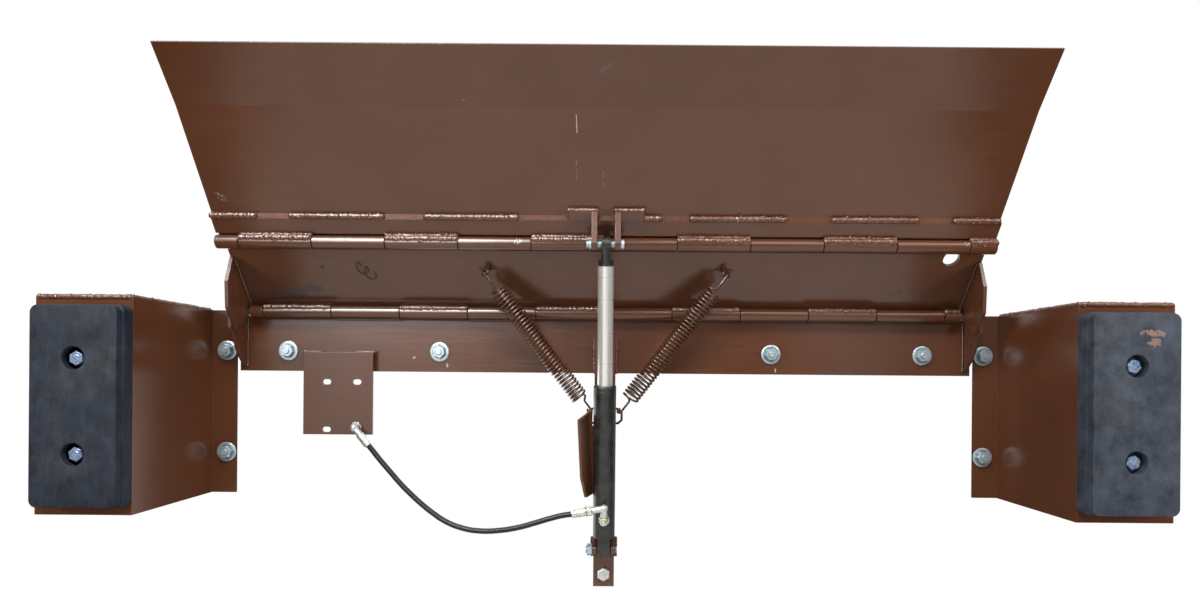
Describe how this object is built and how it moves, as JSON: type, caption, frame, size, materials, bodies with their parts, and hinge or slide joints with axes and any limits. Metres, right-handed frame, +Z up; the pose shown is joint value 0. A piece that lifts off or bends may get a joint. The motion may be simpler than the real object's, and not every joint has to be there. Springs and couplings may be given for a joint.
{
  "type": "hydraulic edge of dock leveler",
  "caption": "Edge of dock leveler: wall plate with a short hinged ramp and a hinged lip, lifted by one cylinder against two springs, with boxed rubber bumpers at both ends.",
  "frame": {"origin": "on the dock wall at the back of the face plate, at mid width, on the line of the face plate anchors", "axes": "+X to the right seen from the truck, +Y into the dock wall, +Z up"},
  "size_m": [2.496, 0.3904, 1.1813],
  "materials": {
    "brown_paint": "satin brown enamel on steel plate",
    "hinge_pin_steel": "cold drawn bar",
    "zinc_steel": "bright zinc",
    "black_enamel": "semi gloss black",
    "chrome_rod": "hard chrome, ground",
    "yellow_zinc": "yellow passivated zinc",
    "spring_steel": "brown enamel over wire",
    "hose_rubber": "matt hose cover",
    "pad_rubber": "laminated dock rubber, scuffed"
  },
  "bodies": {
    "frame": {"face_plate": "brown_paint", "frame_knuckles": "brown_paint", "rear_hinge_pin": "hinge_pin_steel", "end_gusset_left": "brown_paint", "end_gusset_right": "brown_paint", "cylinder_strut": "brown_paint", "cylinder_clevis": "brown_paint", "cylinder_base_pin": "zinc_steel", "cylinder_guard": "brown_paint", "strut_staples": "brown_paint", "valve_plate": "brown_paint", "bumper_box_left": "brown_paint", "bumper_box_right": "brown_paint", "bumper_top_left": "brown_paint", "bumper_top_right": "brown_paint", "bumper_pad_left": "pad_rubber", "bumper_pad_right": "pad_rubber", "spring_left": "spring_steel", "spring_right": "spring_steel", "feed_hose": "hose_rubber", "hose_coupling": "yellow_zinc"},
    "ramp": {"ramp_plate": "brown_paint", "ramp_rear_knuckles": "brown_paint", "ramp_front_knuckles": "brown_paint", "toe_guard_left": "brown_paint", "toe_guard_right": "brown_paint", "ramp_staples": "brown_paint", "front_hinge_pin": "hinge_pin_steel"},
    "lip": {"lip_plate": "brown_paint", "lip_leaf": "brown_paint", "lip_knuckles": "brown_paint", "lip_lug_left": "brown_paint", "lip_lug_right": "brown_paint", "lip_bolt": "zinc_steel"},
    "rod": {"cylinder_rod": "chrome_rod", "rod_end": "black_enamel"},
    "barrel": {"cylinder_barrel": "black_enamel", "cylinder_gland": "black_enamel", "cylinder_base_lug": "black_enamel", "port_elbow": "yellow_zinc", "hose_crimp": "yellow_zinc"}
  },
  "joints": [
    {"name": "ramp_lift", "type": "hinge", "parent": "frame", "child": "ramp", "pos_m": [0, -0.03, 0.097], "axis": [1, 0, 0], "range_deg": [0, 51.5], "deforming": ["spring_left", "spring_right", "feed_hose"]},
    {"name": "lip_fold", "type": "hinge", "parent": "ramp", "child": "lip", "pos_m": [0, -0.1489, 0.24648], "axis": [1, 0, 0], "range_deg": [0, 93.4]},
    {"name": "rod_pivot", "type": "hinge", "parent": "lip", "child": "rod", "pos_m": [0, -0.19334, 0.23829], "axis": [1, 0, 0], "range_deg": [-143, 0]},
    {"name": "cylinder_stroke", "type": "slide", "parent": "rod", "child": "barrel", "axis": [0, -0.2012, 0.9796], "range_m": [0, 0.1599]}
  ],
  "couplings": [
    {"joint": "lip_fold", "follows": "ramp_lift", "ratio": 1.8097},
    {"joint": "rod_pivot", "follows": "ramp_lift", "ratio": -2.7728},
    {"joint": "cylinder_stroke", "follows": "ramp_lift", "m_per_rad": 0.17732}
  ]
}
